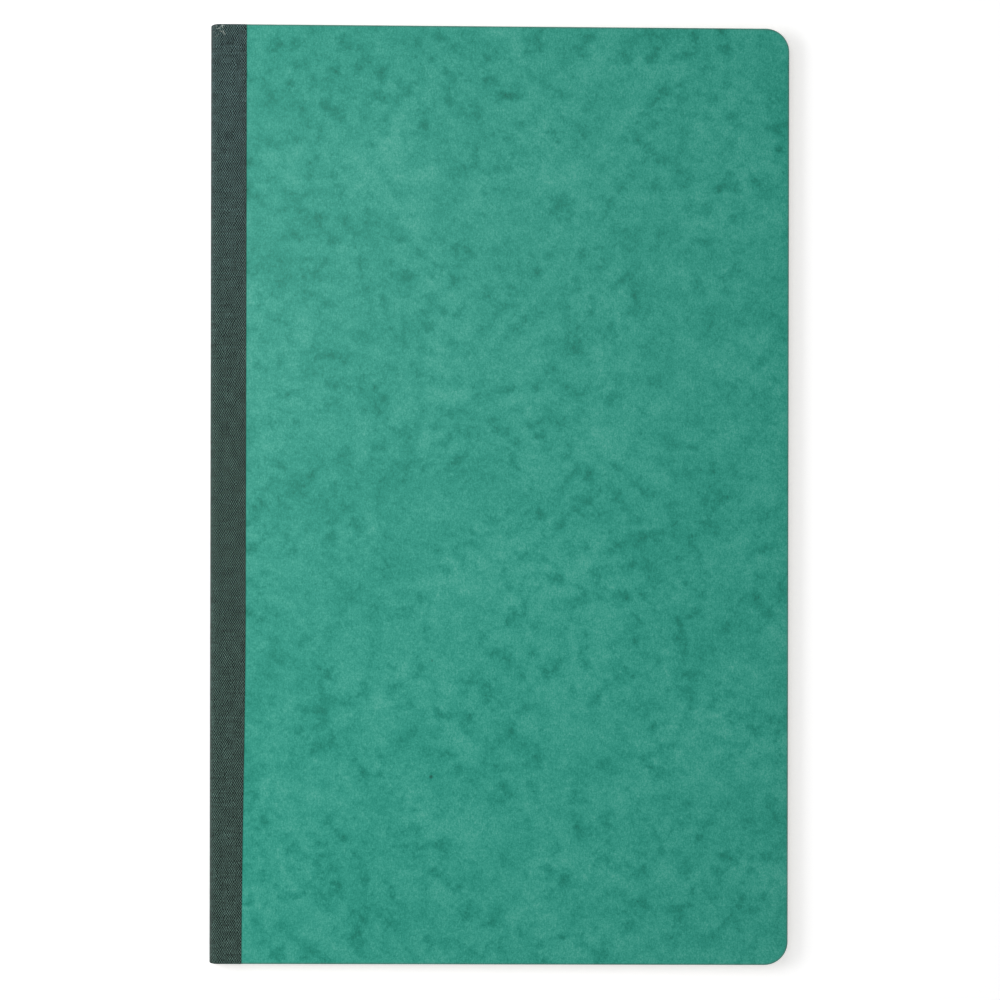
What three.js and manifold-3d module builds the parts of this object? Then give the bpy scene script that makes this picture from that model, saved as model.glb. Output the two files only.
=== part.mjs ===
// A slim sewn account book: one section of folded sheets, two pressboard covers and a cloth tape over the back.
// Millimetres. The closed book lies on its back cover: X runs from the spine to the fore-edge,
// Y up the page to the head and Z through the thickness. The origin is under the middle of the book.
import * as THREE from "three";
import { mergeVertices } from "three/addons/utils/BufferGeometryUtils.js";
import Module from "manifold-3d";

// Overall format
const BOOK_WIDTH = 197;
const BOOK_HEIGHT = 320;
const CORNER_RADIUS = 8;
const CORNER_SEGMENTS = 6;

// Layers, from the middle of the section outwards
const SHEET_COUNT = 20;
const LEAF_THICKNESS = 0.11;
const PASTEDOWN_THICKNESS = 0.12;
const BOARD_THICKNESS = 0.45;
const TAPE_THICKNESS = 0.22;
const LAYER_GAP = 0.005;

// Cloth tape: its edge runs a little out of true, so it is wider at the head than at the tail
const TAPE_WIDTH_HEAD = 11.9;
const TAPE_WIDTH_TAIL = 10.9;
const BOARD_SETBACK = 0.1;

// Rounded back and sewing
const SPINE_SEGMENTS = 16;
const SHELL_GAP = 0.03;
const THREAD_DIAMETER = 0.35;
const THREAD_CLEARANCE = 0.225;
const THREAD_SIDES = 8;
const STITCH_LENGTH = 12;
const STITCH_MARGIN = 10;

// Every layer's inner face, as a height above the fold plane
const leafStep = LEAF_THICKNESS + LAYER_GAP;
const leafLevel = (place) => LAYER_GAP / 2 + (place - 1) * leafStep;
const pastedownLevel = leafLevel(SHEET_COUNT + 1);
const boardLevel = pastedownLevel + PASTEDOWN_THICKNESS + LAYER_GAP;
const tapeLevel = boardLevel + BOARD_THICKNESS + LAYER_GAP;
const halfThickness = tapeLevel + TAPE_THICKNESS;

// Radii of the rounded back about the fold line, from the outside in
const endpaperFoldRadius = tapeLevel - SHELL_GAP;
const sectionFoldRadius = endpaperFoldRadius - PASTEDOWN_THICKNESS - SHELL_GAP;
const threadRadius = THREAD_DIAMETER / 2;
const threadSpace = threadRadius + THREAD_CLEARANCE;
const outerThreadDepth = sectionFoldRadius - threadSpace;

// Distances from the fold line, along X
const foldLineX = halfThickness - BOOK_WIDTH / 2;
const foreEdge = BOOK_WIDTH - halfThickness;
const leafRoot = threadSpace;
const boardRoot = halfThickness + BOARD_SETBACK;
const tapeEdgeHead = TAPE_WIDTH_HEAD - halfThickness;
const tapeEdgeTail = TAPE_WIDTH_TAIL - halfThickness;

const pressboard = new THREE.MeshStandardMaterial({ color: 0x41a08e, roughness: 0.5, metalness: 0 });
const tapeCloth = new THREE.MeshStandardMaterial({ color: 0x3c4e48, roughness: 0.9, metalness: 0 });
const ledgerPaper = new THREE.MeshStandardMaterial({ color: 0xf1ecdc, roughness: 0.85, metalness: 0 });
const endPaper = new THREE.MeshStandardMaterial({ color: 0xe9e4d2, roughness: 0.85, metalness: 0 });
const linenThread = new THREE.MeshStandardMaterial({ color: 0xf4f1e8, roughness: 0.7, metalness: 0 });

const wasm = await Module();
wasm.setup();

// A closed geometry as a solid that can be cut and joined.
function solidOf(geometry) {
  const bare = geometry.clone();
  bare.deleteAttribute("normal");
  bare.deleteAttribute("uv");
  const merged = mergeVertices(bare, 1e-4);
  const vertProperties = merged.attributes.position.array;
  const triVerts = new Uint32Array(merged.index.array);
  return new wasm.Manifold(new wasm.Mesh({ numProp: 3, vertProperties, triVerts }));
}

// A cut or joined solid as a geometry.
function geometryOf(solid) {
  const mesh = solid.getMesh();
  const geometry = new THREE.BufferGeometry();
  geometry.setAttribute("position", new THREE.BufferAttribute(mesh.vertProperties, 3));
  geometry.setIndex(new THREE.BufferAttribute(mesh.triVerts, 1));
  geometry.computeVertexNormals();
  return geometry;
}

// A flat layer from x = root to the fore-edge, with the two fore-edge corners rounded.
function layerGeometry(root, thickness) {
  const halfHeight = BOOK_HEIGHT / 2;
  const arcX = foreEdge - CORNER_RADIUS;
  const arcY = halfHeight - CORNER_RADIUS;
  const outline = new THREE.Shape();
  outline.moveTo(root, -halfHeight);
  outline.lineTo(arcX, -halfHeight);
  outline.absarc(arcX, -arcY, CORNER_RADIUS, -Math.PI / 2, 0, false);
  outline.absarc(arcX, arcY, CORNER_RADIUS, 0, Math.PI / 2, false);
  outline.lineTo(root, halfHeight);
  return new THREE.ExtrudeGeometry(outline, {
    depth: thickness,
    bevelEnabled: false,
    curveSegments: CORNER_SEGMENTS,
  });
}

// The part of a cover that the tape laps over, with the tape's slightly slanting edge.
function tapeFlapGeometry() {
  const halfHeight = BOOK_HEIGHT / 2;
  const outline = new THREE.Shape();
  outline.moveTo(boardRoot, -halfHeight);
  outline.lineTo(tapeEdgeTail, -halfHeight);
  outline.lineTo(tapeEdgeHead, halfHeight);
  outline.lineTo(boardRoot, halfHeight);
  return new THREE.ExtrudeGeometry(outline, { depth: TAPE_THICKNESS, bevelEnabled: false });
}

// A half-round strip behind the fold line, running the full height of the book.
function backStripGeometry(innerRadius, outerRadius) {
  const outline = new THREE.Shape();
  outline.absarc(0, 0, outerRadius, Math.PI / 2, 1.5 * Math.PI, false);
  outline.absarc(0, 0, innerRadius, 1.5 * Math.PI, Math.PI / 2, true);
  const strip = new THREE.ExtrudeGeometry(outline, {
    depth: BOOK_HEIGHT,
    bevelEnabled: false,
    curveSegments: SPINE_SEGMENTS,
  });
  strip.translate(0, 0, -BOOK_HEIGHT / 2);
  return strip.rotateX(Math.PI / 2);
}

// The heights, along Y, at which the thread passes through the folds.
function stitchHoles() {
  const stitchCount = Math.floor((BOOK_HEIGHT - 2 * STITCH_MARGIN) / STITCH_LENGTH);
  const first = (-stitchCount * STITCH_LENGTH) / 2;
  return Array.from({ length: stitchCount + 1 }, (_, i) => first + i * STITCH_LENGTH);
}

// The nested folds of all the sheets, with the channels that the thread lies in.
function sectionFoldGeometry() {
  const channelWidth = 2 * threadSpace;
  let folds = solidOf(backStripGeometry(threadSpace, sectionFoldRadius));
  const outerGroove = new THREE.BoxGeometry(channelWidth, BOOK_HEIGHT + channelWidth, channelWidth);
  outerGroove.translate(-outerThreadDepth - threadSpace / 2, 0, 0);
  folds = folds.subtract(solidOf(outerGroove));
  for (const y of stitchHoles()) {
    const hole = new THREE.BoxGeometry(sectionFoldRadius, channelWidth, channelWidth);
    hole.translate(-sectionFoldRadius / 2, y, 0);
    folds = folds.subtract(solidOf(hole));
  }
  return geometryOf(folds);
}

// One run of thread inside the fold, one outside it, and a pass through the folds at each hole.
function threadGeometry() {
  const holes = stitchHoles();
  const runLength = holes[holes.length - 1] - holes[0] + THREAD_DIAMETER;
  const run = new THREE.CylinderGeometry(threadRadius, threadRadius, runLength, THREAD_SIDES);
  let thread = solidOf(run).add(solidOf(run.clone().translate(-outerThreadDepth, 0, 0)));
  for (const y of holes) {
    const pass = new THREE.CylinderGeometry(threadRadius, threadRadius, outerThreadDepth, THREAD_SIDES);
    pass.rotateZ(Math.PI / 2);
    pass.translate(-outerThreadDepth / 2, y, 0);
    thread = thread.add(solidOf(pass));
  }
  return geometryOf(thread);
}

// The group's own origin lies on the fold line, half-way up the book and half-way through it.
const book = new THREE.Group();
book.position.set(foldLineX, 0, halfThickness);

function addPiece(name, geometry, material, z = 0) {
  const piece = new THREE.Mesh(geometry, material);
  piece.name = name;
  piece.position.z = z;
  book.add(piece);
}

// Leaves are numbered from the front: the first half lies above the fold plane, the other half below it.
const leafGeometry = layerGeometry(leafRoot, LEAF_THICKNESS);
for (let number = 1; number <= 2 * SHEET_COUNT; number++) {
  const isFrontHalf = number <= SHEET_COUNT;
  const place = isFrontHalf ? SHEET_COUNT + 1 - number : number - SHEET_COUNT;
  const z = isFrontHalf ? leafLevel(place) : -leafLevel(place) - LEAF_THICKNESS;
  addPiece("leaf_" + String(number).padStart(2, "0"), leafGeometry, ledgerPaper, z);
}

addPiece("section_folds", sectionFoldGeometry(), ledgerPaper);
addPiece("sewing_thread", threadGeometry(), linenThread);
const endpaperFold = backStripGeometry(endpaperFoldRadius - PASTEDOWN_THICKNESS, endpaperFoldRadius);
addPiece("endpaper_fold", endpaperFold, endPaper);
addPiece("tape_spine", backStripGeometry(tapeLevel, halfThickness), tapeCloth);

const pastedown = layerGeometry(leafRoot, PASTEDOWN_THICKNESS);
const board = layerGeometry(boardRoot, BOARD_THICKNESS);
const tapeFlap = tapeFlapGeometry();
const tapeHinge = new THREE.BoxGeometry(boardRoot, BOOK_HEIGHT, TAPE_THICKNESS);
tapeHinge.translate(boardRoot / 2, 0, TAPE_THICKNESS / 2);

// Each cover's layers, the front ones upwards from the fold plane and the back ones downwards.
for (const side of ["front", "back"]) {
  const heightOf = (level, thickness) => (side === "front" ? level : -level - thickness);
  addPiece(side + "_pastedown", pastedown, endPaper, heightOf(pastedownLevel, PASTEDOWN_THICKNESS));
  addPiece(side + "_board", board, pressboard, heightOf(boardLevel, BOARD_THICKNESS));
  addPiece("tape_" + side + "_hinge", tapeHinge, tapeCloth, heightOf(tapeLevel, TAPE_THICKNESS));
  addPiece("tape_" + side + "_flap", tapeFlap, tapeCloth, heightOf(tapeLevel, TAPE_THICKNESS));
}

export default book;
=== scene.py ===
import math

import bmesh
import bpy
from mathutils import Matrix, Vector


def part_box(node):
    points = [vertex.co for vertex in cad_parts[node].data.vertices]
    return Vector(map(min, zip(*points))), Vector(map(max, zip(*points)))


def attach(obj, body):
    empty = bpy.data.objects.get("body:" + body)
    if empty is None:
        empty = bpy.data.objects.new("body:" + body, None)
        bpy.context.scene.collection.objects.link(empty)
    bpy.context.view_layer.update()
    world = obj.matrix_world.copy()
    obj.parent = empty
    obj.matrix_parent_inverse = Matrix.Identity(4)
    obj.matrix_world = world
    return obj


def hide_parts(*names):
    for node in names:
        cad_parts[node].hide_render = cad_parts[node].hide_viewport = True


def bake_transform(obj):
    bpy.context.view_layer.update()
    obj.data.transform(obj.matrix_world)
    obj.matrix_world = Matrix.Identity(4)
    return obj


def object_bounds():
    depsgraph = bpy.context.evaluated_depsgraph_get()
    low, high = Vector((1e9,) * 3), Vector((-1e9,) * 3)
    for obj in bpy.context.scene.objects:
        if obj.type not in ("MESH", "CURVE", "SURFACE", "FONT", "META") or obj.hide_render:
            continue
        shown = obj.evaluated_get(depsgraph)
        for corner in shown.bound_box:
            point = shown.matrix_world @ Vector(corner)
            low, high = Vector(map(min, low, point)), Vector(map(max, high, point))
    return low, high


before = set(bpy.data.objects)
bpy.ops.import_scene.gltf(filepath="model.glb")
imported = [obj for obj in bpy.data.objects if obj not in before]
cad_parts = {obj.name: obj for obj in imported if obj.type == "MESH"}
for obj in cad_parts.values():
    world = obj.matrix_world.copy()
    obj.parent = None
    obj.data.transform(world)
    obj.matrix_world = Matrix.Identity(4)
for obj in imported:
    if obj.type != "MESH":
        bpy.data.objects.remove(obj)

cad_low, cad_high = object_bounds()

MM = 0.001
TINY = 0.0001 * MM

# The CAD model's own sizes: the fold line runs along Y at fold_x and mid_z
spine_low, spine_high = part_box("tape_spine")
flap_low, flap_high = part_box("tape_front_flap")
fold_x = spine_high.x
mid_z = (spine_low.z + spine_high.z) / 2
spine_radius = spine_high.z - mid_z
half_height = spine_high.y
fore_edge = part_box("leaf_01")[1].x
page_width = fore_edge - fold_x
board_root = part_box("front_board")[0].x - fold_x
tape_thickness = flap_high.z - flap_low.z
CORNER_RADIUS = 8 * MM
LEAF_COUNT = 40
MIDDLE = LEAF_COUNT // 2

# The tape covers a little more of the board than the CAD's flap does
TAPE_OVERREACH = 0.4 * MM
tape_reach = flap_high.x - fold_x + TAPE_OVERREACH

# The head of the book was cut a little out of square: it is lower at the fore edge
HEAD_DROP = 1.3 * MM

# The photograph: its scale, the place of the book's middle in it and the book's turn
PHOTO_SIZE_PX = 1000
PX_PER_MM = 2.9385
BOOK_CENTRE_PX = (499.05, 494.5)
BOOK_TURN_DEG = 0.11
CAMERA_DISTANCE = 1.2
SENSOR_WIDTH_MM = 36
CLIP_RANGE = (0.01, 20)


def leaf_name(number):
    return "leaf_%02d" % number


def at(distance, height=0.0):
    """A point from its distance to the fold line and its height over the middle of the thickness."""
    return (fold_x + distance, 0.0, mid_z + height)


# Camera

def make_camera():
    """Straight above the book, framed as in the photograph."""
    pixel = MM / PX_PER_MM
    middle_px = PHOTO_SIZE_PX / 2
    data = bpy.data.cameras.new("camera")
    data.sensor_width = SENSOR_WIDTH_MM
    data.lens = data.sensor_width * CAMERA_DISTANCE / (PHOTO_SIZE_PX * pixel)
    data.clip_start, data.clip_end = CLIP_RANGE
    camera = bpy.data.objects.new("camera", data)
    bpy.context.scene.collection.objects.link(camera)
    camera.location = (
        (middle_px - BOOK_CENTRE_PX[0]) * pixel,
        (BOOK_CENTRE_PX[1] - middle_px) * pixel,
        cad_high.z + CAMERA_DISTANCE,
    )
    camera.rotation_euler = (0, 0, math.radians(BOOK_TURN_DEG))
    bpy.context.scene.camera = camera


make_camera()


# Shader helpers

class Graph:
    """Adds nodes to a shader tree. An input is a socket to link from, or a plain value."""

    def __init__(self, tree):
        self.tree = tree

    def feed(self, socket, value):
        if isinstance(value, bpy.types.NodeSocket):
            self.tree.links.new(value, socket)
        else:
            socket.default_value = value

    def node(self, kind, settings=None, **inputs):
        made = self.tree.nodes.new(kind)
        for name, value in (settings or {}).items():
            setattr(made, name, value)
        for name, value in inputs.items():
            self.feed(made.inputs[name.replace("_", " ")], value)
        return made

    def math(self, operation, *values):
        made = self.node("ShaderNodeMath", {"operation": operation})
        for socket, value in zip(made.inputs, values):
            self.feed(socket, value)
        return made.outputs[0]

    def vector_math(self, operation, *values):
        made = self.node("ShaderNodeVectorMath", {"operation": operation})
        for socket, value in zip(made.inputs, values):
            self.feed(socket, value)
        return made.outputs

    def axes(self, vector):
        return self.node("ShaderNodeSeparateXYZ", None, Vector=vector).outputs

    def around(self, total, value, amount):
        """total + (value - 0.5) * amount"""
        shifted = self.math("MULTIPLY_ADD", value, amount, -0.5 * amount)
        return self.math("ADD", total, shifted)

    def noise(self, vector, scale, detail=2.0, roughness=0.5):
        made = self.node("ShaderNodeTexNoise", None,
                         Vector=vector, Scale=scale, Detail=detail, Roughness=roughness)
        return made.outputs[0]

    def stretch(self, vector, scale):
        made = self.node("ShaderNodeMapping", None, Vector=vector)
        made.inputs["Scale"].default_value = scale
        return made.outputs["Vector"]

    def turn(self, vector, angle):
        made = self.node("ShaderNodeMapping", None, Vector=vector)
        made.inputs["Rotation"].default_value = (0, 0, angle)
        return made.outputs["Vector"]

    def ramp(self, value, low, high, to_low=0.0, to_high=1.0):
        """A smooth step of a value."""
        made = self.node("ShaderNodeMapRange", {"interpolation_type": "SMOOTHSTEP"},
                         Value=value, From_Min=low, From_Max=high, To_Min=to_low, To_Max=to_high)
        return made.outputs["Result"]

    def mix(self, factor, first, second, blend="MIX"):
        made = self.node("ShaderNodeMix", {"data_type": "RGBA", "blend_type": blend})
        for name, value in (("Factor_Float", factor), ("A_Color", first), ("B_Color", second)):
            socket = next(s for s in made.inputs if s.identifier == name)
            self.feed(socket, value)
        return next(s for s in made.outputs if s.identifier == "Result_Color")

    def grey(self, value):
        made = self.node("ShaderNodeCombineColor", None, Red=value, Green=value, Blue=value)
        return made.outputs["Color"]

    def bump(self, height, strength, distance):
        made = self.node("ShaderNodeBump", None,
                         Height=height, Strength=strength, Distance=distance)
        return made.outputs["Normal"]

    def group(self, tree, **inputs):
        return self.node("ShaderNodeGroup", {"node_tree": tree}, **inputs).outputs


def srgb(red, green, blue):
    """A linear colour from its screen values, 0 to 255."""
    def linear(value):
        value /= 255
        return value / 12.92 if value <= 0.04045 else ((value + 0.055) / 1.055) ** 2.4
    return (linear(red), linear(green), linear(blue), 1.0)


def new_group(name, outputs, inputs=()):
    """An empty shader node group, with a graph to fill it and its input and output nodes."""
    tree = bpy.data.node_groups.new(name, "ShaderNodeTree")
    for direction, sockets in (("INPUT", inputs), ("OUTPUT", outputs)):
        for socket_name, kind in sockets:
            tree.interface.new_socket(
                socket_name, in_out=direction, socket_type="NodeSocket" + kind)
    return Graph(tree), tree.nodes.new("NodeGroupInput"), tree.nodes.new("NodeGroupOutput")


def new_material(name, roughness, specular):
    material = bpy.data.materials.new(name)
    material.use_nodes = True
    shader = material.node_tree.nodes["Principled BSDF"]
    shader.inputs["Roughness"].default_value = roughness
    shader.inputs["Specular IOR Level"].default_value = specular
    return material, Graph(material.node_tree), shader


def flat_place(graph):
    """A sheet's own flat coordinates in millimetres, from its UV map."""
    uv = graph.node("ShaderNodeUVMap", {"uv_map": "sheet"}).outputs["UV"]
    scaled = graph.node("ShaderNodeVectorMath", {"operation": "SCALE"}, Vector=uv, Scale=1 / MM)
    return scaled.outputs["Vector"]


def object_place(graph):
    return graph.node("ShaderNodeTexCoord").outputs["Object"]


# Pressboard

BOARD_COLOUR = srgb(41, 150, 131)
# The cut edge's band: the card's greyer cut fibres, and painted shade on the rounded rim
CUT_EDGE_AND_SHADE_COLOUR = srgb(75, 94, 88)
EDGE_WIDTH = 0.8 * MM
CUT_EDGE_AND_SHADE_STRENGTH = 0.6
SPECK_COLOUR = srgb(14, 70, 60)
GRAIN_TURN = math.radians(37)

# The mottle's tone before its layers, the darkest that it gets, and how far each layer moves it
BASE_TONE = 1.075
DARKEST_TONE = 0.4
BLOT_TONE = -0.36
BROAD_TONE = 0.26
CLOUD_TONE = 1.1
FIBRE_TONE = 0.6
GRAIN_TONE = 0.6

# The colour changes with the tone, most of all in red
RED_POWER = 4.2
BLUE_POWER = 1.13

FIBRE_STRETCH = (1.5, 0.7, 1.0)
SPECK_RARITY = 0.88
SMOOTHEST = 0.36
ROUGHER = 0.16
CLOUD_RELIEF = 2.0


def specks(graph, place):
    """A mask of small dark dots, scattered over the board."""
    cells = graph.node("ShaderNodeTexVoronoi", None, Vector=place, Scale=48.0)
    pick = graph.node("ShaderNodeSeparateColor", None, Color=cells.outputs["Color"]).outputs["Red"]
    chosen = graph.math("GREATER_THAN", pick, SPECK_RARITY)
    dot = graph.ramp(cells.outputs["Distance"], low=0.015, high=0.04, to_low=0.7, to_high=0.0)
    return graph.math("MULTIPLY", chosen, dot)


def mottle_group():
    """Clouds of darker and lighter pulp, fine fibres and a few dark specks, as a tone around 1."""
    graph, _, out = new_group("pressboard_mottle", (
        ("Color", "Color"), ("Roughness", "Float"), ("Height", "Float")))
    place = object_place(graph)
    turned = graph.turn(place, GRAIN_TURN)
    broad = graph.noise(turned, scale=26.0)
    clouds = graph.noise(turned, scale=85.0, detail=5.0, roughness=0.85)
    clusters = graph.ramp(
        graph.noise(place, scale=45.0, detail=1.0), low=0.35, high=0.6, to_low=0.3, to_high=1.0)
    blots = graph.ramp(
        graph.noise(turned, scale=150.0, detail=3.0, roughness=0.62), low=0.44, high=0.74)
    fibres = graph.noise(graph.stretch(place, FIBRE_STRETCH), scale=1150.0, roughness=0.6)
    grain = graph.noise(place, scale=2300.0, detail=1.0)
    tone = graph.math(
        "MULTIPLY_ADD", graph.math("MULTIPLY", blots, clusters), BLOT_TONE, BASE_TONE)
    for layer, amount in (
            (broad, BROAD_TONE), (clouds, CLOUD_TONE), (fibres, FIBRE_TONE), (grain, GRAIN_TONE)):
        tone = graph.around(tone, layer, amount)
    tone = graph.math("MAXIMUM", tone, DARKEST_TONE)
    red, green, blue, _ = BOARD_COLOUR
    colour = graph.node(
        "ShaderNodeCombineColor", None,
        Red=graph.math("MULTIPLY", graph.math("POWER", tone, RED_POWER), red),
        Green=graph.math("MULTIPLY", tone, green),
        Blue=graph.math("MULTIPLY", graph.math("POWER", tone, BLUE_POWER), blue),
    ).outputs["Color"]
    speck = specks(graph, place)
    graph.feed(out.inputs["Color"], graph.mix(speck, colour, SPECK_COLOUR))
    graph.feed(out.inputs["Roughness"], graph.math("MULTIPLY_ADD", fibres, ROUGHER, SMOOTHEST))
    graph.feed(out.inputs["Height"], graph.math("MULTIPLY_ADD", clouds, CLOUD_RELIEF, fibres))
    return graph.tree


def cut_edge_group():
    """1 on the cut edge of a sheet with rounded fore-edge corners, falling to 0 just inside it."""
    graph, source, out = new_group("cut_edge", (("Mask", "Float"),), (("Width", "Float"),))
    axes = graph.axes(object_place(graph))
    slope = HEAD_DROP / (cad_high.x - cad_low.x)
    drop = graph.math("MULTIPLY", graph.math("SUBTRACT", axes["X"], cad_low.x), slope)
    up = graph.math("MULTIPLY_ADD", axes["Y"], 0.5 / half_height, 0.5)
    square_y = graph.math("MULTIPLY_ADD", drop, up, axes["Y"])
    past_x = graph.math("SUBTRACT", axes["X"], fore_edge - CORNER_RADIUS)
    past_y = graph.math("SUBTRACT", graph.math("ABSOLUTE", square_y), half_height - CORNER_RADIUS)
    reach = graph.math("SQRT", graph.math("ADD", *(
        graph.math("POWER", graph.math("MAXIMUM", past, 0.0), 2.0) for past in (past_x, past_y))))
    margin = graph.math("SUBTRACT", CORNER_RADIUS, reach)
    inside = graph.math("DIVIDE", margin, source.outputs["Width"])
    graph.feed(out.inputs["Mask"], graph.ramp(inside, low=0.0, high=1.0, to_low=1.0, to_high=0.0))
    return graph.tree


def pressboard_material():
    material, graph, shader = new_material("glazed_pressboard", roughness=0.42, specular=0.25)
    mottle = graph.group(mottle_group())
    edge = graph.group(cut_edge_group(), Width=EDGE_WIDTH)["Mask"]
    # Darkens the rim: partly the cut card's colour, partly painted shade
    colour = graph.mix(graph.math("MULTIPLY", edge, CUT_EDGE_AND_SHADE_STRENGTH), mottle["Color"], CUT_EDGE_AND_SHADE_COLOUR)
    relief = graph.bump(mottle["Height"], strength=0.25, distance=0.02 * MM)
    graph.feed(shader.inputs["Base Color"], colour)
    graph.feed(shader.inputs["Roughness"], mottle["Roughness"])
    graph.feed(shader.inputs["Normal"], relief)
    return material


# Tape

WARP_PITCH_MM = 0.375
WEFT_PITCH_MM = 0.593
THREAD_WANDER_MM = 1.1
WARP_HEAD_COLOUR = srgb(88, 113, 112)
WARP_TAIL_COLOUR = srgb(84, 110, 102)
WEFT_COLOUR = srgb(1, 12, 9)
SCUFF_COLOUR = srgb(168, 178, 170)

# A thread's tone changes slowly along it
SLOW_CHANGE = 0.2

# How far the threads' unevenness moves the tone
WARP_TONE = 1.1
WEFT_TONE = 1.5
FUZZ_TONE = 1.9
PATCH_TONE = 0.28


def wandering_threads(graph, place):
    """The place on the weave, pushed about so that the threads don't run quite straight."""
    wander = graph.node("ShaderNodeTexNoise", None, Vector=place, Scale=0.45, Detail=2.0)
    offset = graph.vector_math("SUBTRACT", wander.outputs["Color"], (0.5, 0.5, 0.5))["Vector"]
    reach = (THREAD_WANDER_MM,) * 3
    return graph.vector_math("MULTIPLY_ADD", offset, reach, place)["Vector"]


def uneven_threads(graph, place, threads):
    """The tone of single threads, of their fuzz and of larger patches, around 1."""
    along_warp = graph.stretch(threads, (1 / WARP_PITCH_MM, SLOW_CHANGE, 0.0))
    along_weft = graph.stretch(threads, (SLOW_CHANGE, 1 / WEFT_PITCH_MM, 0.0))
    shade = 1.0
    for layer, amount in (
            (graph.noise(along_warp, scale=0.8, detail=1.0), WARP_TONE),
            (graph.noise(along_weft, scale=0.8, detail=1.0), WEFT_TONE),
            (graph.noise(place, scale=4.0, roughness=0.6), FUZZ_TONE),
            (graph.noise(place, scale=0.35, detail=3.0, roughness=0.6), PATCH_TONE)):
        shade = graph.around(shade, layer, amount)
    return shade


def scuffed_threads(graph, place, axes):
    """A mask of loose pale strands at the head, on both sides of the front shoulder."""
    from_head = graph.math("SUBTRACT", half_height / MM, axes["Y"])
    from_shoulder = graph.math("ABSOLUTE", axes["X"])
    near_head = graph.ramp(from_head, low=1.0, high=7.0, to_low=1.0, to_high=0.0)
    near_shoulder = graph.ramp(from_shoulder, low=1.0, high=3.5, to_low=1.0, to_high=0.0)
    worn = graph.math("MULTIPLY", near_head, near_shoulder)
    cells = graph.node(
        "ShaderNodeTexVoronoi", {"feature": "DISTANCE_TO_EDGE"}, Vector=place, Scale=0.5)
    strand = graph.ramp(
        cells.outputs["Distance"], low=0.012, high=0.045, to_low=1.0, to_high=0.0)
    loose = graph.ramp(graph.noise(place, scale=0.9, detail=1.0), low=0.46, high=0.54)
    return graph.math("MULTIPLY", worn, graph.math("MULTIPLY", strand, loose))


def weave_group():
    """Plain-woven linen: light threads along the tape over and under dark threads across it."""
    graph, _, out = new_group("plain_weave", (("Color", "Color"), ("Height", "Float")))
    place = flat_place(graph)
    threads = wandering_threads(graph, place)
    axes = graph.axes(threads)
    across = graph.math("SINE", graph.math("MULTIPLY", axes["X"], math.pi / WARP_PITCH_MM))
    along = graph.math("SINE", graph.math("MULTIPLY", axes["Y"], math.pi / WEFT_PITCH_MM))
    over = graph.math("MULTIPLY", across, along)
    towards_head = graph.ramp(axes["Y"], low=0.0, high=half_height / MM)
    warp_colour = graph.mix(towards_head, WARP_TAIL_COLOUR, WARP_HEAD_COLOUR)
    weave = graph.mix(graph.ramp(over, low=-0.3, high=0.45), WEFT_COLOUR, warp_colour)
    shade = uneven_threads(graph, place, threads)
    weave = graph.mix(1.0, weave, graph.grey(shade), "MULTIPLY")
    scuffs = scuffed_threads(graph, place, axes)
    graph.feed(out.inputs["Color"], graph.mix(scuffs, weave, SCUFF_COLOUR))
    graph.feed(out.inputs["Height"], graph.math("ABSOLUTE", over))
    return graph.tree


def tape_material():
    material, graph, shader = new_material("linen_tape", roughness=0.8, specular=0.12)
    shader.inputs["Sheen Weight"].default_value = 0.1
    weave = graph.group(weave_group())
    relief = graph.bump(weave["Height"], strength=0.5, distance=0.05 * MM)
    graph.feed(shader.inputs["Base Color"], weave["Color"])
    graph.feed(shader.inputs["Normal"], relief)
    return material


# Paper, ink and thread

PAGE_COLOUR = srgb(236, 231, 216)
END_PAPER_COLOUR = srgb(229, 221, 202)
FEINT_COLOUR = srgb(104, 146, 190)
RED_COLOUR = srgb(190, 74, 78)
RULING_STRENGTH = 0.85
NUMBER_COLOURS = (srgb(60, 66, 84), srgb(84, 90, 108))
THREAD_COLOURS = (srgb(196, 188, 166), srgb(240, 235, 222))
TWIST_PITCH_MM = 0.55

# The ruling, in millimetres from the page's left edge and from the middle of its height
RULE_PITCH = 8.0
RULE_TOP = 124.0
RULE_BOTTOM = -148.0
COLUMN_BOTTOM = -168.0
HEAD_RULES = (RULE_TOP + RULE_PITCH, RULE_TOP + RULE_PITCH + 1.0)
RED_RULES = (13.0, 14.0, 101.0, 102.0, 129.0, 156.0, 183.0)
BLUE_RULES = (30.0, 121.0, 148.0, 175.0)
BLUE_WIDTH = 0.3
RED_WIDTH = 0.4

# A left-hand page lies this far along in the flat coordinates, in millimetres
LEFT_PAGE = 1000.0

# Painted shade in the crease of the fold: the paper's colour is a little darker there, where shade
# falls
CREASE_SHADE_REACH = 1.6
PAINTED_CREASE_SHADE = 0.7


def paper_group():
    """The tint and surface of uncoated paper."""
    graph, source, out = new_group(
        "paper_surface", (("Color", "Color"), ("Height", "Float")), (("Tint", "Color"),))
    place = flat_place(graph)
    fibres = graph.noise(place, scale=2.2, detail=3.0, roughness=0.6)
    clouds = graph.noise(place, scale=0.05, detail=3.0, roughness=0.55)
    shade = graph.around(graph.around(0.98, fibres, 0.06), clouds, 0.06)
    colour = graph.mix(1.0, source.outputs["Tint"], graph.grey(shade), "MULTIPLY")
    graph.feed(out.inputs["Color"], colour)
    graph.feed(out.inputs["Height"], fibres)
    return graph.tree


def ruled_line_group():
    """A mask that is 1 on a line at Position along Coordinate."""
    graph, source, out = new_group("ruled_line", (("Mask", "Float"),), (
        ("Coordinate", "Float"), ("Position", "Float"), ("Width", "Float")))
    given = source.outputs
    off = graph.math("ABSOLUTE", graph.math("SUBTRACT", given["Coordinate"], given["Position"]))
    half = graph.math("MULTIPLY", given["Width"], 0.5)
    graph.feed(out.inputs["Mask"], graph.math("LESS_THAN", off, half))
    return graph.tree


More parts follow.
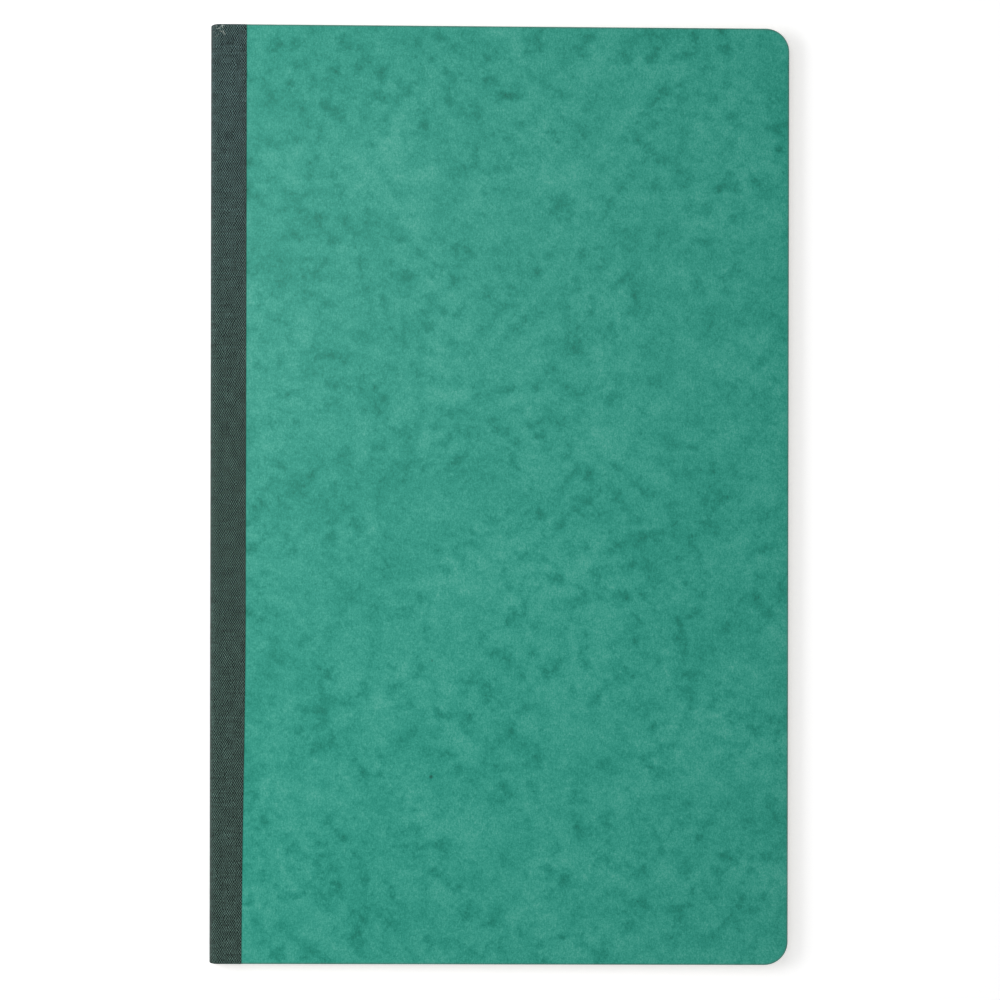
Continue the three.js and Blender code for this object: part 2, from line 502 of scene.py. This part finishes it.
def new_paper(name, tint, surface):
    """A paper material without its colour, and the colour and surface that it starts from."""
    material, graph, shader = new_material(name, roughness=0.85, specular=0.25)
    paper = graph.group(surface, Tint=tint)
    relief = graph.bump(paper["Height"], strength=0.15, distance=0.02 * MM)
    graph.feed(shader.inputs["Normal"], relief)
    return material, graph, shader, paper["Color"]


def plain_paper_material(name, tint, surface):
    material, graph, shader, colour = new_paper(name, tint, surface)
    graph.feed(shader.inputs["Base Color"], colour)
    return material


def ledger_paper_material(surface):
    """Paper ruled with feint lines and with columns for the date, the entry and three amounts,
    darkened by painted shade along the fold.
    """
    material, graph, shader, colour = new_paper("ruled_ledger_paper", PAGE_COLOUR, surface)
    line = ruled_line_group()
    axes = graph.axes(flat_place(graph))
    up = axes["Y"]
    on_left_page = graph.math("GREATER_THAN", axes["X"], LEFT_PAGE / 2)
    across = graph.math("MULTIPLY_ADD", on_left_page, -LEFT_PAGE, axes["X"])
    past_fold = graph.math("MULTIPLY_ADD", on_left_page, -page_width / MM, across)
    from_fold = graph.math("ABSOLUTE", past_fold)
    # Painted shade: each page's colour is darker towards the fold line
    crease_shade = graph.ramp(from_fold, low=0.0, high=CREASE_SHADE_REACH, to_low=PAINTED_CREASE_SHADE, to_high=1.0)

    def lines(coordinate, positions, width):
        total = 0.0
        for position in positions:
            mask = graph.group(line, Coordinate=coordinate, Position=position, Width=width)["Mask"]
            total = graph.math("MAXIMUM", total, mask)
        return total

    def between(value, low, high):
        above = graph.math("GREATER_THAN", value, low)
        return graph.math("MULTIPLY", above, graph.math("LESS_THAN", value, high))

    row = graph.math("WRAP", up, RULE_TOP - RULE_PITCH / 2, RULE_TOP + RULE_PITCH / 2)
    rows = graph.math("MULTIPLY", lines(row, (RULE_TOP,), BLUE_WIDTH),
                      between(up, RULE_BOTTOM - 1, RULE_TOP + 1))
    column_height = between(up, COLUMN_BOTTOM, HEAD_RULES[1])
    blue_columns = graph.math("MULTIPLY", lines(across, BLUE_RULES, BLUE_WIDTH), column_height)
    red_columns = graph.math("MULTIPLY", lines(across, RED_RULES, RED_WIDTH), column_height)
    blue = graph.math("MAXIMUM", rows, blue_columns)
    red = graph.math("MAXIMUM", lines(up, HEAD_RULES, RED_WIDTH), red_columns)
    on_page = graph.math("GREATER_THAN", across, 0.0)
    colour = graph.mix(1.0, colour, graph.grey(crease_shade), "MULTIPLY")
    for mask, ink_colour in ((blue, FEINT_COLOUR), (red, RED_COLOUR)):
        strength = graph.math("MULTIPLY", graph.math("MULTIPLY", mask, on_page), RULING_STRENGTH)
        colour = graph.mix(strength, colour, ink_colour)
    graph.feed(shader.inputs["Base Color"], colour)
    return material


def ink_material():
    """The ink of the page numbers, a little uneven."""
    material, graph, shader = new_material("page_number_ink", roughness=0.7, specular=0.3)
    blots = graph.noise(flat_place(graph), scale=3.0)
    graph.feed(shader.inputs["Base Color"], graph.mix(blots, *NUMBER_COLOURS))
    return material


def thread_material():
    """Twisted linen thread."""
    material, graph, shader = new_material("linen_thread", roughness=0.7, specular=0.3)
    axes = graph.axes(flat_place(graph))
    slant = graph.math("ADD", axes["X"], axes["Y"])
    twist = graph.math("SINE", graph.math("MULTIPLY", slant, math.tau / TWIST_PITCH_MM))
    strands = graph.ramp(twist, low=-1.0, high=1.0)
    graph.feed(shader.inputs["Base Color"], graph.mix(strands, *THREAD_COLOURS))
    graph.feed(shader.inputs["Normal"], graph.bump(strands, strength=0.5, distance=0.05 * MM))
    return material


paper_surface = paper_group()
pressboard = pressboard_material()
linen_tape = tape_material()
ruled_paper = ledger_paper_material(paper_surface)
end_paper = plain_paper_material("end_paper", END_PAPER_COLOUR, paper_surface)
folded_paper = plain_paper_material("folded_paper", PAGE_COLOUR, paper_surface)
ink = ink_material()
thread = thread_material()


# Mesh helpers

CORNER_SEGMENTS = 16
RIM_SEGMENTS = 3
SHARP_ANGLE = math.radians(40)


def smooth_step(value):
    value = min(max(value, 0.0), 1.0)
    return value * value * (3 - 2 * value)


def sheet_block(low, high):
    """A flat sheet between two corners, with its two fore-edge corners rounded."""
    bm = bmesh.new()
    bmesh.ops.create_cube(bm, size=1)
    bmesh.ops.scale(bm, verts=bm.verts, vec=high - low)
    bmesh.ops.translate(bm, verts=bm.verts, vec=(low + high) / 2)
    upright = [
        edge for edge in bm.edges
        if min(vert.co.x for vert in edge.verts) > high.x - TINY
        and abs(edge.verts[0].co.y - edge.verts[1].co.y) < TINY]
    bmesh.ops.bevel(
        bm, geom=upright, offset=CORNER_RADIUS, offset_type="OFFSET", affect="EDGES",
        segments=CORNER_SEGMENTS, profile=0.5, material=-1)
    return bm


def cut_across(bm, distances):
    """Cuts a mesh along the spine's direction, so that it can bend there."""
    for distance in distances:
        bmesh.ops.bisect_plane(
            bm, geom=bm.verts[:] + bm.edges[:] + bm.faces[:], dist=TINY,
            plane_co=at(distance), plane_no=(1, 0, 0))


def thicken(bm, offset):
    """Makes an open sheet a closed one, with a second side at an offset."""
    made = bmesh.ops.extrude_face_region(bm, geom=bm.faces[:], use_keep_orig=True)
    second = [part for part in made["geom"] if isinstance(part, bmesh.types.BMVert)]
    bmesh.ops.translate(bm, verts=second, vec=(0, 0, offset))
    bmesh.ops.recalc_face_normals(bm, faces=bm.faces[:])


def trim_head(bm):
    """Gives a mesh the head's out-of-square cut."""
    for vert in bm.verts:
        drop = HEAD_DROP * (vert.co.x - cad_low.x) / (cad_high.x - cad_low.x)
        vert.co.y -= drop * (vert.co.y + half_height) / (2 * half_height)


def soften_rim(bm, edges, rounding):
    bmesh.ops.bevel(
        bm, geom=edges, offset=rounding, offset_type="OFFSET", affect="EDGES",
        segments=RIM_SEGMENTS, profile=0.5, material=-1)


def sharp_edges(bm):
    return [edge for edge in bm.edges if edge.calc_face_angle(0.0) > SHARP_ANGLE]


def finish_piece(name, bm, materials, node_names, flat_rule=None):
    """Makes a mesh a piece of the book. flat_rule gives a corner's flat coordinates, in metres."""
    trim_head(bm)
    bm.normal_update()
    for face in bm.faces:
        face.smooth = True
    for edge in bm.edges:
        edge.smooth = edge.calc_face_angle(0.0) < SHARP_ANGLE
    if flat_rule:
        uv = bm.loops.layers.uv.new("sheet")
        for face in bm.faces:
            for loop in face.loops:
                loop[uv].uv = flat_rule(face, loop.vert.co)
    data = bpy.data.meshes.new(name)
    bm.to_mesh(data)
    bm.free()
    piece = bpy.data.objects.new(name, data)
    bpy.context.scene.collection.objects.link(piece)
    for material in materials:
        data.materials.append(material)
    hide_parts(*node_names)
    return piece


def page_rule(edge_place):
    """A leaf's flat coordinates: each page's from its left edge, with the cut edges off the page."""
    def rule(face, point):
        distance = point.x - fold_x
        if face.normal.z > 0.5:
            return (distance, point.y)
        if face.normal.z < -0.5:
            return (LEFT_PAGE * MM + page_width - distance, point.y)
        return (edge_place, point.y)
    return rule


# Leaves

PAPER_INSET = 0.006 * MM
NUMBER_SIZE = 4.2 * MM
NUMBER_MARGIN = 11 * MM
NUMBER_RELIEF = 0.003 * MM
NUMBER_SMOOTHNESS = 3
LEAF_BEND = 7.2 * MM
CENTRE_BEND = 0.25 * MM
ROOT = 0.004 * MM
BEND_STEPS = 28
FAN_STEPS = 10

# Where the cut edges lie in the flat coordinates, each leaf's in a place of its own
EDGE_PLACE = -20 * MM
EDGE_PLACE_STEP = -3 * MM

# Towards the fold the sheets stand apart a little, up to the end sheet's fold
fold_swell = (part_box("endpaper_fold")[1].z - mid_z) / (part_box("front_pastedown")[1].z - mid_z)


def add_page_number(bm, text, height, faces_up):
    """Adds a page's number, barely raised off the paper, to its leaf's mesh."""
    curve = bpy.data.curves.new("number", "FONT")
    curve.body = text
    curve.size = NUMBER_SIZE
    curve.extrude = NUMBER_RELIEF
    curve.align_x = "RIGHT" if faces_up else "LEFT"
    curve.resolution_u = NUMBER_SMOOTHNESS
    holder = bpy.data.objects.new("number", curve)
    bpy.context.scene.collection.objects.link(holder)
    depsgraph = bpy.context.evaluated_depsgraph_get()
    outline = bpy.data.meshes.new_from_object(holder.evaluated_get(depsgraph))
    bpy.data.objects.remove(holder)
    corner = Matrix.Translation((fore_edge - NUMBER_MARGIN, half_height - NUMBER_MARGIN, height))
    outline.transform(corner if faces_up else corner @ Matrix.Rotation(math.pi, 4, "Y"))
    leaf_faces = set(bm.faces)
    bm.from_mesh(outline)
    for face in set(bm.faces) - leaf_faces:
        face.material_index = 1
    bpy.data.meshes.remove(outline)


def spaced(reach, steps):
    return [ROOT + (reach - ROOT) * step / steps for step in range(1, steps + 1)]


def fan_out(bm):
    for vert in bm.verts:
        nearness = 1 - smooth_step((vert.co.x - fold_x) / board_root)
        vert.co.z = mid_z + (vert.co.z - mid_z) * (1 + (fold_swell - 1) * nearness)


def paper_sheet(node):
    """A node's sheet from the fold line out, a little thinner so that the sheets show apart."""
    low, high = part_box(node)
    low.x = fold_x + ROOT
    low.z += PAPER_INSET
    high.z -= PAPER_INSET
    return sheet_block(low, high), low.z, high.z


def make_leaf(number):
    node = leaf_name(number)
    bm, low_z, high_z = paper_sheet(node)
    reach = CENTRE_BEND if number == MIDDLE else LEAF_BEND
    cut_across(bm, spaced(reach, BEND_STEPS) + spaced(board_root, FAN_STEPS))
    fan_out(bm)
    add_page_number(bm, str(2 * number - 1), high_z, True)
    add_page_number(bm, str(2 * number), low_z, False)
    rule = page_rule(EDGE_PLACE + number * EDGE_PLACE_STEP)
    piece = finish_piece("page_" + node, bm, (ruled_paper, ink), (node,), rule)
    if number <= MIDDLE:
        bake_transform(piece)
    elif number == MIDDLE + 1:
        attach(piece, node)
    else:
        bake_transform(piece)


def make_pastedown(side):
    node = side + "_pastedown"
    bm = paper_sheet(node)[0]
    cut_across(bm, spaced(LEAF_BEND, BEND_STEPS) + spaced(board_root, FAN_STEPS))
    fan_out(bm)
    rule = page_rule(EDGE_PLACE)
    piece = finish_piece(side + "_end_paper", bm, (end_paper,), (node,), rule)
    if side == "front":
        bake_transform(piece)
    else:
        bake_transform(piece)


for leaf_number in range(1, LEAF_COUNT + 1):
    make_leaf(leaf_number)
for cover_side in ("front", "back"):
    make_pastedown(cover_side)


# Boards

BOARD_ROUNDING = 0.16 * MM


def make_board(side):
    """A pressboard cover with softly rounded edges."""
    node = side + "_board"
    bm = sheet_block(*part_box(node))
    soften_rim(bm, sharp_edges(bm), BOARD_ROUNDING)
    piece = finish_piece(side + "_cover_board", bm, (pressboard,), (node,))
    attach(piece, side + "_cover")


for cover_side in ("front", "back"):
    make_board(cover_side)


# Tape

HINGE_DIP = 0.08 * MM
TAPE_ROUNDING = 0.06 * MM
TAPE_DRIFT = 1.2 * MM
TAPE_DRIFT_START = 0.62
LAP_COLUMNS = 24
LAP_ROWS = 48


def tape_edge(y):
    """The tape's edge, as a distance from the fold line: it drifts in towards the tail."""
    share = (half_height - y) / (2 * half_height)
    drift = smooth_step((share - TAPE_DRIFT_START) / (1 - TAPE_DRIFT_START))
    return tape_reach - TAPE_DRIFT * drift


def free_rim(bm):
    """The sharp edges of a piece of tape, apart from those where it goes on in the next piece."""
    return [
        edge for edge in sharp_edges(bm)
        if max(abs(vert.co.x - fold_x) for vert in edge.verts) > TINY]


def make_tape_lap(side):
    """The tape from the shoulder of the back to its edge on the cover, dipping over the hinge gap."""
    sign = 1 if side == "front" else -1
    bm = bmesh.new()
    bmesh.ops.create_grid(bm, x_segments=LAP_COLUMNS, y_segments=LAP_ROWS, size=0.5)
    for vert in bm.verts:
        y = 2 * half_height * vert.co.y
        distance = tape_edge(y) * (vert.co.x + 0.5)
        dip = HINGE_DIP * math.sin(math.pi * min(distance / board_root, 1.0)) ** 2
        vert.co = (fold_x + distance, y, mid_z + sign * (spine_radius - dip))
    thicken(bm, -sign * tape_thickness)
    soften_rim(bm, free_rim(bm), TAPE_ROUNDING)

    def rule(face, point):
        distance = point.x - fold_x
        return (distance if sign > 0 else -math.pi * spine_radius - distance, point.y)

    nodes = ("tape_" + side + "_hinge", "tape_" + side + "_flap")
    piece = finish_piece("tape_lap_" + side, bm, (linen_tape,), nodes, rule)
    if side == "front":
        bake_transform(piece)
    else:
        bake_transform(piece)


for cover_side in ("front", "back"):
    make_tape_lap(cover_side)


# Back

HEAD_CORNER = 0.7 * MM
TAIL_CORNER = 0.4 * MM
BACK_STEPS = 64
FOLD_STEPS = 16
FOLD_SETBACK = 0.1 * MM


def half_ring(inner, outer, half_length, steps):
    """A strip that goes half round the fold line, behind it."""
    bm = bmesh.new()
    corners = (
        (-half_length, inner), (half_length, inner), (half_length, outer), (-half_length, outer))
    profile = bm.faces.new([bm.verts.new((fold_x, y, mid_z + z)) for y, z in corners])
    bmesh.ops.spin(
        bm, geom=[profile], cent=at(0), axis=(0, -1, 0), angle=math.pi, steps=steps,
        use_duplicate=False)
    bmesh.ops.recalc_face_normals(bm, faces=bm.faces[:])
    return bm


def round_back_corners(bm):
    """Rounds the ends of the back, seen from above, where handling has worn them."""
    for vert in bm.verts:
        depth = min(max((fold_x - vert.co.x) / spine_radius, 0.0), 1.0)
        wear = 1 - math.sqrt(1 - depth * depth)
        if vert.co.y > 0:
            vert.co.y -= HEAD_CORNER * wear
        else:
            vert.co.y += TAIL_CORNER * wear


def back_rule(face, point):
    """Flat coordinates over the back: the tape's length round it, from the front shoulder."""
    angle = math.atan2(point.z - mid_z, fold_x - point.x)
    return (spine_radius * (angle - math.pi / 2), point.y)


def follow_the_fold(piece):
    """Bakes a piece of the back's place into its mesh."""
    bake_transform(piece)


def finish_back(name, bm, material, node):
    round_back_corners(bm)
    piece = finish_piece(name, bm, (material,), (node,), back_rule)
    follow_the_fold(piece)


def make_tape_back():
    bm = half_ring(spine_radius - tape_thickness, spine_radius, half_height, BACK_STEPS)
    soften_rim(bm, free_rim(bm), TAPE_ROUNDING)
    finish_back("tape_back", bm, linen_tape, "tape_spine")


def fold_ring(node, half_length, steps):
    """The fold that joins a sheet's two halves, in line with both."""
    low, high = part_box(node)
    inner = (low.z + PAPER_INSET - mid_z) * fold_swell
    outer = (high.z - PAPER_INSET - mid_z) * fold_swell
    return half_ring(inner, outer, half_length, steps)


def make_end_sheet_fold():
    bm = fold_ring("front_pastedown", half_height - FOLD_SETBACK, BACK_STEPS)
    finish_back("end_sheet_fold", bm, end_paper, "endpaper_fold")


def make_sheet_folds():
    """The nested folds of all sheets."""
    bm = bmesh.new()
    for number in range(1, MIDDLE + 1):
        ring = fold_ring(leaf_name(number), half_height - FOLD_SETBACK, FOLD_STEPS)
        data = bpy.data.meshes.new("fold")
        ring.to_mesh(data)
        ring.free()
        bm.from_mesh(data)
        bpy.data.meshes.remove(data)
    finish_back("sheet_folds", bm, folded_paper, "section_folds")


# Sewing

STITCH = 12 * MM
STITCH_STEPS = 8
THREAD_RADIUS = 0.16 * MM
THREAD_SIDES = 10
STITCH_RISE = 0.12 * MM


def thread_run(bm, x, rise, first_hole, stitch_count):
    """One run of thread along the fold. It rises between the holes and sinks in at each."""
    made = bmesh.ops.create_circle(bm, segments=THREAD_SIDES, radius=THREAD_RADIUS, cap_ends=False)
    ring = made["verts"]
    bmesh.ops.rotate(bm, verts=ring, matrix=Matrix.Rotation(math.pi / 2, 3, "X"))
    bmesh.ops.translate(bm, verts=ring, vec=(fold_x + x, first_hole, mid_z))
    edges = list({edge for vert in ring for edge in vert.link_edges})
    height = 0.0
    for step in range(1, stitch_count * STITCH_STEPS + 1):
        made = bmesh.ops.extrude_edge_only(bm, edges=edges)["geom"]
        edges = [part for part in made if isinstance(part, bmesh.types.BMEdge)]
        ring = [part for part in made if isinstance(part, bmesh.types.BMVert)]
        next_height = rise * abs(math.sin(math.pi * step / STITCH_STEPS))
        bmesh.ops.translate(bm, verts=ring, vec=(next_height - height, STITCH / STITCH_STEPS, 0))
        height = next_height


def make_sewing():
    """The thread: a run inside the fold, one outside it, and a pass between them at each hole."""
    low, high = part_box("sewing_thread")
    stitch_count = round((high.y - low.y) / STITCH)
    first_hole = -stitch_count * STITCH / 2
    outer_x = low.x + THREAD_RADIUS - fold_x
    bm = bmesh.new()
    thread_run(bm, 0.0, STITCH_RISE, first_hole, stitch_count)
    thread_run(bm, outer_x, -STITCH_RISE / 2, first_hole, stitch_count)
    for hole in range(stitch_count + 1):
        across = Matrix.Translation((fold_x + outer_x / 2, first_hole + hole * STITCH, mid_z))
        bmesh.ops.create_cone(
            bm, cap_ends=True, segments=THREAD_SIDES, radius1=THREAD_RADIUS, radius2=THREAD_RADIUS,
            depth=-outer_x, matrix=across @ Matrix.Rotation(math.pi / 2, 4, "Y"))
    open_ends = [edge for edge in bm.edges if edge.is_boundary]
    bmesh.ops.holes_fill(bm, edges=open_ends, sides=THREAD_SIDES)
    bmesh.ops.recalc_face_normals(bm, faces=bm.faces[:])

    def rule(face, point):
        return (THREAD_RADIUS * math.atan2(point.z - mid_z, point.x - fold_x), point.y)

    piece = finish_piece("sewing", bm, (thread,), ("sewing_thread",), rule)
    follow_the_fold(piece)


make_tape_back()
make_end_sheet_fold()
make_sheet_folds()
make_sewing()


# Light and floor

# The lamps: name, place, length, width and power, all turned towards the book
LIGHTS = (
    ("key", (-0.46, 0.09, 0.45), 0.5, 0.3, 1.93),
    ("top", (-0.28, 0.36, 1.1), 0.6, 0.6, 1.85),
    ("foot", (-0.05, -0.4, 0.22), 0.5, 0.1, 0.09),
    ("fill", (0.9, -0.6, 1.4), 1.2, 1.2, 1.0),
)
WORLD_STRENGTH = 0.42
FLOOR_SIZE = 3
FLOOR_TONES = ((0.89, 0.89, 0.89, 1), (0.91, 0.91, 0.91, 1))

# The floor glows less near the book, so that the book's shadow shows
NEAR = 0.25
FAR = 1.1
NEAR_GLOW = 0.36
FAR_GLOW = 0.6


def seen_directly(graph):
    """1 for the rays that show the background: the camera's, reflected and transmitted ones."""
    path = graph.node("ShaderNodeLightPath").outputs
    seen = graph.math("MAXIMUM", path["Is Camera Ray"], path["Is Glossy Ray"])
    return graph.math("MAXIMUM", seen, path["Is Transmission Ray"])


def make_light(name, location, length, width, energy):
    data = bpy.data.lights.new(name, "AREA")
    data.shape = "RECTANGLE"
    data.size = length
    data.size_y = width
    data.energy = energy
    light = bpy.data.objects.new(name, data)
    light.location = location
    light.visible_camera = False
    light.rotation_euler = (-Vector(location)).to_track_quat("-Z", "Y").to_euler()
    bpy.context.scene.collection.objects.link(light)


def make_floor():
    bm = bmesh.new()
    bmesh.ops.create_grid(bm, x_segments=1, y_segments=1, size=FLOOR_SIZE)
    data = bpy.data.meshes.new("floor")
    bm.to_mesh(data)
    bm.free()
    floor = bpy.data.objects.new("floor", data)
    material, graph, shader = new_material("floor_white", roughness=0.9, specular=0.0)
    shade = graph.noise(object_place(graph), scale=3.0)
    graph.feed(shader.inputs["Base Color"], graph.mix(shade, *FLOOR_TONES))
    shader.inputs["Emission Color"].default_value = (1, 1, 1, 1)
    away = graph.vector_math("LENGTH", object_place(graph))["Value"]
    glow = graph.ramp(away, low=NEAR, high=FAR, to_low=NEAR_GLOW, to_high=FAR_GLOW)
    glow = graph.math("MULTIPLY", seen_directly(graph), glow)
    graph.feed(shader.inputs["Emission Strength"], glow)
    data.materials.append(material)
    bpy.context.scene.collection.objects.link(floor)


def make_world():
    world = bpy.data.worlds.new("studio")
    world.use_nodes = True
    graph = Graph(world.node_tree)
    background = world.node_tree.nodes["Background"]
    background.inputs["Color"].default_value = (1, 1, 1, 1)
    strength = graph.math("MULTIPLY_ADD", seen_directly(graph), 1 - WORLD_STRENGTH, WORLD_STRENGTH)
    graph.feed(background.inputs["Strength"], strength)
    bpy.context.scene.world = world


for light_row in LIGHTS:
    make_light(*light_row)
make_floor()
make_world()
bpy.context.scene.view_settings.view_transform = "Standard"
